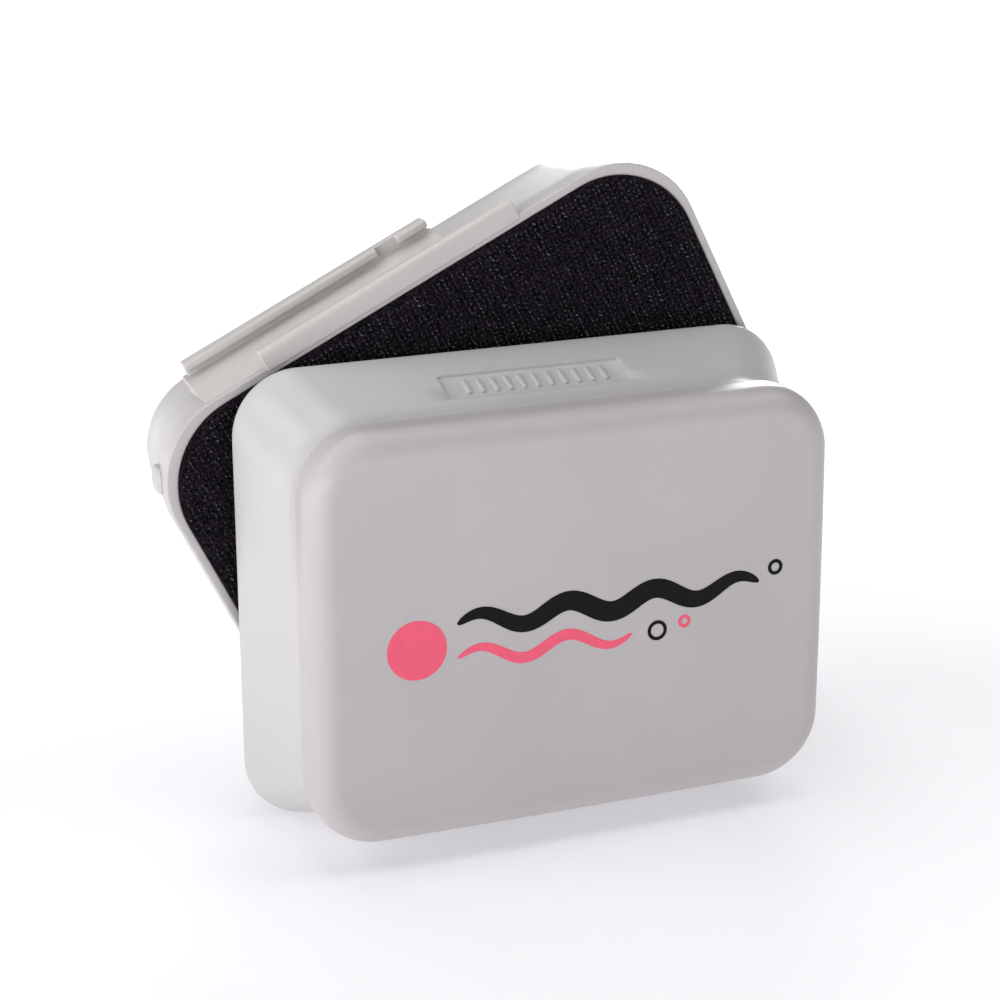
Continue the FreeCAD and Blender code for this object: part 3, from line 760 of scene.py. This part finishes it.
def tub():
    """The float's outer moulding, from the inside of its floor over the rim and round to its back."""
    floor = FLOAT_DEPTH - FLOAT_WALL
    inset_high = draft_inset(floor) + FLOAT_WALL + 0.5 * MM
    inset_low = FLOAT_WALL + SHOULDER
    inner = FLOAT_BACK_RADIUS - FLOAT_WALL
    rings = [
        (smaller(FLOAT_SIZE, inset_high + 3 * MM), inner - 3 * MM, floor),
        (smaller(FLOAT_SIZE, inset_high + 0.9 * MM), inner - 0.9 * MM, floor - 0.9 * MM),
        (smaller(FLOAT_SIZE, inset_high), inner, floor - 3 * MM),
        (smaller(FLOAT_SIZE, inset_low), FLOAT_RADIUS - inset_low, PLATE_SEAT),
        (smaller(FLOAT_SIZE, FLOAT_RIM), FLOAT_PAD_RADIUS, PLATE_SEAT),
    ]
    r = RIM_ROUNDING
    for inset, depth in quarter((FLOAT_RIM - r, r), r, 0, -90, 5):
        rings.append((smaller(FLOAT_SIZE, inset), FLOAT_PAD_RADIUS - (FLOAT_RIM - inset) * 0.1, depth))
    for inset, depth in quarter((r, r), r, -90, -180, 6):
        rings.append((smaller(FLOAT_SIZE, inset), FLOAT_RADIUS - inset, depth))
    rings += [float_ring(i, d) for i, d in straight((0.0, r), (0.0, FLOAT_RIM_BAND), pieces=2)]
    side_end = FLOAT_DEPTH - FLOAT_BACK_ROUNDING * (1 + math.sin(FLOAT_DRAFT))
    side = straight((0.0, FLOAT_RIM_BAND), (draft_inset(side_end), side_end), pieces=6)
    rings += [float_ring(i, d) for i, d in side]
    run = FLOAT_BACK_ROUNDING
    centre = (draft_inset(side_end) + run * math.cos(FLOAT_DRAFT), FLOAT_DEPTH - run)
    arc = quarter(centre, run, 180 - math.degrees(FLOAT_DRAFT), 90, 14)
    rings += [float_ring(i, d) for i, d in arc]
    last_inset = arc[-1][0]
    rings += [float_ring(last_inset + extra * MM, FLOAT_DEPTH) for extra in (0.5, 4.0)]
    return loft("tub_moulding", rings, on_float)


def lug():
    """A small rounded lug on the corner at the float's upper left."""
    length, height, depth, start = LUG
    centre = (-(FLOAT_SIZE[0] / 2 - FLOAT_RADIUS), FLOAT_SIZE[1] / 2 - FLOAT_RADIUS)
    foot = FLOAT_RADIUS - 2 * MM

    def place(points):
        radial, across, out = np.asarray(points, float).reshape(-1, 3).T
        r = foot + out
        c, s = math.cos(LUG_ANGLE), math.sin(LUG_ANGLE)
        u = centre[0] + r * c - radial * s
        v = centre[1] + r * s + radial * c
        return on_float(np.stack([u, v, start + depth / 2 + across], axis=1))

    profile = [(0.0, 0.0), (0.0, 1.6 * MM), (0.05 * MM, 2 * MM + height * 0.3),
               (0.4 * MM, 2 * MM + height * 0.7), (0.9 * MM, 2 * MM + height * 0.93),
               (1.5 * MM, 2 * MM + height)]
    rings = [(smaller((length, depth), inset), 2.2 * MM - inset, out) for inset, out in profile]
    return loft("lug", rings, place)


def holder_block(name, section, ends):
    """A prism from (depth, height above the side) points, run along the float."""
    side = FLOAT_SIZE[1] / 2
    count = len(section)
    points = [(u, side + height, depth) for u in ends for depth, height in section]
    faces = [tuple(range(count)), tuple(range(count, 2 * count))]
    faces += [(i, (i + 1) % count, count + (i + 1) % count, count + i) for i in range(count)]
    return add_piece(name, on_float(points), faces)


def rounded_section(points, radii, steps=5):
    """A polygon with an arc at each corner that has a radius."""
    result = []
    count = len(points)
    for i, (point, radius) in enumerate(zip(points, radii)):
        here = Vector(point)
        if radius == 0:
            result.append(tuple(here))
            continue
        back = (Vector(points[i - 1]) - here).normalized()
        ahead = (Vector(points[(i + 1) % count]) - here).normalized()
        half = back.angle(ahead) / 2
        reach = radius / math.tan(half)
        centre = here + (back + ahead).normalized() * (radius / math.sin(half))
        first, last = here + back * reach - centre, here + ahead * reach - centre
        for k in range(steps + 1):
            result.append(tuple(centre + first.lerp(last, k / steps).normalized() * radius))
    return result


def blade_holder():
    """The ramp, wall, lips and front rail that a scraper blade slides into."""
    edge = 0.35 * MM
    shy = HOLDER_SHY
    ramp_block = holder_block("holder", [
        (RAMP_LOW[0], -HOLDER_ROOT), RAMP_LOW, RAMP_HIGH,
        (HOLDER_BACK, RAMP_HIGH[1]), (HOLDER_BACK, -3 * MM),
    ], RAMP)
    wall_front, wall_back = RAMP_HIGH[0] + shy, HOLDER_BACK - shy
    wall_foot, wall_top = 1.5 * MM, LIP_TOP - shy
    wall_section = rounded_section(
        [(wall_front, wall_foot), (wall_front, wall_top), (wall_back, wall_top), (wall_back, wall_foot)],
        [0, 0, 0.7 * MM, 0])
    wall = holder_block("wall", wall_section, (LIP[0] + 2 * shy, STOP[1] - 2 * shy))
    lip_root = RAMP_HIGH[0] + 0.8 * MM
    lip_section = rounded_section(
        [(lip_root, LIP_BOTTOM), (LIP_FRONT, LIP_BOTTOM), (LIP_FRONT, LIP_TOP), (lip_root, LIP_TOP)],
        [0, 0.45 * MM, 0.8 * MM, 0])
    rail_section = rounded_section(
        [(RAIL_FRONT, RAIL_BOTTOM), (RAIL_FRONT, RAIL_TOP), (RAIL_BACK, RAIL_TOP),
         (RAIL_BACK, RAIL_ROOT), (RAIL_ROOT_FRONT, RAIL_ROOT), (RAIL_ROOT_FRONT, RAIL_BOTTOM)],
        [0.3 * MM, 1.4 * MM, 0.6 * MM, 0, 0, 0])
    holder = combined(ramp_block, bevelled(wall, 0.3 * MM, limit=50), "UNION")
    for name, ends in (("lip", LIP), ("stop", STOP)):
        holder = combined(holder, bevelled(holder_block(name, lip_section, ends), edge, limit=50), "UNION")
    rail = bevelled(holder_block("rail", rail_section, RAIL), 0.8 * MM, segments=4, limit=60)
    holder = combined(holder, rail, "UNION")
    holder.name = "blade_holder_moulding"
    return holder


# ---- pads --------------------------------------------------------------------------------------------------

def inside_outline(u, v, size, radius, margin):
    """Which (u, v) points lie inside a rounded rectangle, by at least the margin."""
    du = np.maximum(np.abs(u) - (size[0] / 2 - radius), 0.0)
    dv = np.maximum(np.abs(v) - (size[1] / 2 - radius), 0.0)
    return np.hypot(du, dv) < radius - margin


def tape_ground():
    """The hook tape's ground: a thin slab with a softly rounded edge."""
    size = smaller(FLOAT_SIZE, FLOAT_RIM + PAD_PLAY)
    radius = FLOAT_PAD_RADIUS - PAD_PLAY
    profile = [(0.0, PAD_BACK), (0.0, 0.2 * MM), (0.0, -TAPE_PROUD * 0.6), (0.12 * MM, -TAPE_PROUD * 0.9),
               (0.4 * MM, -TAPE_PROUD)]
    rings = [(smaller(size, inset), radius - inset, depth) for inset, depth in profile]
    return loft("hook_tape", rings, on_float), size, radius


def hooks(size, radius, rng):
    """Every hook of the tape in one mesh: a bent fibre that leans one way or the other, row by row."""
    columns = int(size[0] / HOOK_PITCH[0])
    rows = int(size[1] / HOOK_PITCH[1])
    i, k = np.meshgrid(np.arange(columns), np.arange(rows), indexing="ij")
    u = (i - (columns - 1) / 2) * HOOK_PITCH[0]
    v = (k - (rows - 1) / 2 + 0.5 * (i % 2)) * HOOK_PITCH[1]
    u = (u + rng.normal(0, HOOK_SCATTER[0], u.shape) * MM).ravel()
    v = (v + rng.normal(0, HOOK_SCATTER[1], v.shape) * MM).ravel()
    way = np.where(i % 2 == 0, 1.0, -1.0).ravel()
    keep = inside_outline(u, v, size, radius, HOOK_MARGIN)
    u, v, way = u[keep], v[keep], way[keep]
    count = len(u)
    angle = rng.normal(0, HOOK_SWING, count) + np.where(way > 0, math.pi / 2, -math.pi / 2)
    height = (HOOK_PROUD - TAPE_PROUD) * rng.uniform(0.86, 1.0, count)
    lean = rng.normal(0, HOOK_LEAN, count) * MM
    path = HOOK_PATH
    sides = HOOK_SIDES
    points = np.zeros((count, len(path), sides, 3))
    for p, (reach, rise) in enumerate(path):
        tip = 1.0 if p < len(path) - 1 else HOOK_TIP
        for s in range(sides):
            turn = 2 * math.pi * s / sides
            across = HOOK_FIBRE * tip * math.cos(turn)
            upwards = HOOK_FIBRE * tip * math.sin(turn)
            steep = HOOK_STEEP[p]
            along = reach * HOOK_REACH + upwards * (1 - steep) + lean * rise
            points[:, p, s, 0] = u + along * np.cos(angle) - across * np.sin(angle)
            points[:, p, s, 1] = v + along * np.sin(angle) + across * np.cos(angle)
            points[:, p, s, 2] = -TAPE_PROUD - np.minimum(rise * height + upwards * steep, height * 0.995)
    block = np.arange(count)[:, None] * len(path) * sides
    faces = []
    for p in range(len(path) - 1):
        for s in range(sides):
            a, b = p * sides + s, p * sides + (s + 1) % sides
            faces.append(block + np.array([a, b, b + sides, a + sides]))
    quads = np.concatenate(faces).tolist()
    last = (len(path) - 1) * sides
    caps = (block + np.array([last, last + 1, last + 2])).tolist()
    roots = (block + np.array([2, 1, 0])).tolist()
    return add_piece("hooks", on_float(points.reshape(-1, 3)), quads + caps + roots)


def hook_pad():
    rng = np.random.default_rng(SEED)
    ground, size, radius = tape_ground()
    dressed(smoothed(ground), WEAVE)
    finished(ground, "float", "hook_tape", "float_hook_pad")
    fibres = dressed(smoothed(hooks(size, radius, rng), math.radians(80)), HOOKS)
    finished(fibres, "float", "hook_tape", "float_hook_pad")


def felt_pad():
    """A pressed felt pad with soft edges and a slightly uneven face."""
    size = smaller(HANDLE_SIZE, HANDLE_WALL + PAD_PLAY)
    radius = HANDLE_RADIUS - HANDLE_WALL - PAD_PLAY
    soft = FELT_SOFTNESS
    rings = [(0.0, PAD_BACK), (0.0, 0.0), (0.0, -FELT_PROUD + soft + 0.3 * MM)]
    rings += [(i, w) for i, w in quarter((soft, -FELT_PROUD + soft), soft, 180, 270, 8)]
    steps_in = (0.6, 1.5, 3, 5, 8, 11, 14, 18, 22, 26, 30, 34, 38, 42)
    rings += [(soft + extra * MM, -FELT_PROUD) for extra in steps_in]
    outlines = [(smaller(size, inset), max(radius - inset, 0.6 * MM), depth) for inset, depth in rings]
    pad = dressed(smoothed(loft("felt_pad", outlines, on_handle)), FELT)
    finished(pad, "handle", "felt", "handle_felt_pad")


# ---- stage -------------------------------------------------------------------------------------------------

def stage():
    """A plain pale floor that brightens into the backdrop, and the world's soft light."""
    floor = add_piece("floor", FLOOR_CORNERS, [(0, 1, 2, 3)])
    material, surface = shader("pale_floor", (0.80, 0.795, 0.82), 0.9)
    nodes, links = material.node_tree.nodes, material.node_tree.links
    place = nodes.new("ShaderNodeTexCoord")
    reach = nodes.new("ShaderNodeVectorMath")
    reach.operation = "LENGTH"
    links.new(place.outputs["Object"], reach.inputs[0])
    glow = span(material, reach.outputs["Value"], *FLOOR_GLOW, source=FLOOR_FADE)
    links.new(glow, surface.inputs["Emission Strength"])
    surface.inputs["Emission Color"].default_value = (0.95, 0.94, 0.97, 1.0)
    dressed(floor, material)

    world = bpy.data.worlds.new("studio")
    bpy.context.scene.world = world
    world.use_nodes = True
    background = world.node_tree.nodes["Background"]
    background.inputs["Color"].default_value = (1.0, 1.0, 1.0, 1.0)
    place = world.node_tree.nodes.new("ShaderNodeTexCoord")
    parts = world.node_tree.nodes.new("ShaderNodeSeparateXYZ")
    world.node_tree.links.new(place.outputs["Generated"], parts.inputs["Vector"])
    glow = span(world, parts.outputs["Z"], *WORLD_GLOW, source=WORLD_FADE)
    world.node_tree.links.new(glow, background.inputs["Strength"])


def softbox(name, place, size, power):
    light = bpy.data.lights.new(name, "AREA")
    light.shape = "RECTANGLE"
    light.size, light.size_y = size
    light.energy = power
    lamp = bpy.data.objects.new(name, light)
    bpy.context.scene.collection.objects.link(lamp)
    lamp.location = place
    lamp.rotation_euler = (Vector(LIGHT_TARGET) - Vector(place)).to_track_quat("-Z", "Y").to_euler()


def camera():
    data = bpy.data.cameras.new("photo_angle")
    data.lens = CAMERA_LENS
    data.sensor_width = 36.0
    data.clip_start = 0.01
    view = bpy.data.objects.new("photo_angle", data)
    bpy.context.scene.collection.objects.link(view)
    turn = Matrix.Rotation(math.radians(-CAMERA_AZIMUTH), 4, "Z")
    tilt = Matrix.Rotation(math.radians(90.0 - CAMERA_DROP), 4, "X")
    roll = Matrix.Rotation(math.radians(CAMERA_ROLL), 4, "Z")
    view.matrix_world = Matrix.Translation(HANDLE_CENTRE + CAMERA_OFFSET) @ turn @ tilt @ roll
    bpy.context.scene.camera = view


def main():
    shell = combined(handle_shell(), recess(), "DIFFERENCE")
    shell = combined(shell, panel_ribs(), "UNION")
    shell.name = "waist_moulding"
    finished(dressed(smoothed(shell), HANDLE_PLASTIC), "handle", "handle_plastic", "handle_waist_shell")
    finished(dressed(smoothed(handle_cap()), SHADED_CAP_PLASTIC), "handle", "handle_plastic", "handle_front_cap")
    body = combined(tub(), lug(), "UNION")
    finished(dressed(smoothed(body), FLOAT_PLASTIC), "float", "float_plastic", "float_tub")
    holder = dressed(smoothed(blade_holder(), flat_area=HOLDER_FLAT_AREA), HOLDER_PLASTIC)
    finished(holder, "float", "holder_plastic", "float_blade_holder")
    hook_pad()
    felt_pad()
    cap_mark()
    stage()
    for light in LIGHTS:
        softbox(*light)
    camera()
    bpy.context.scene.view_settings.view_transform = "Standard"


main()
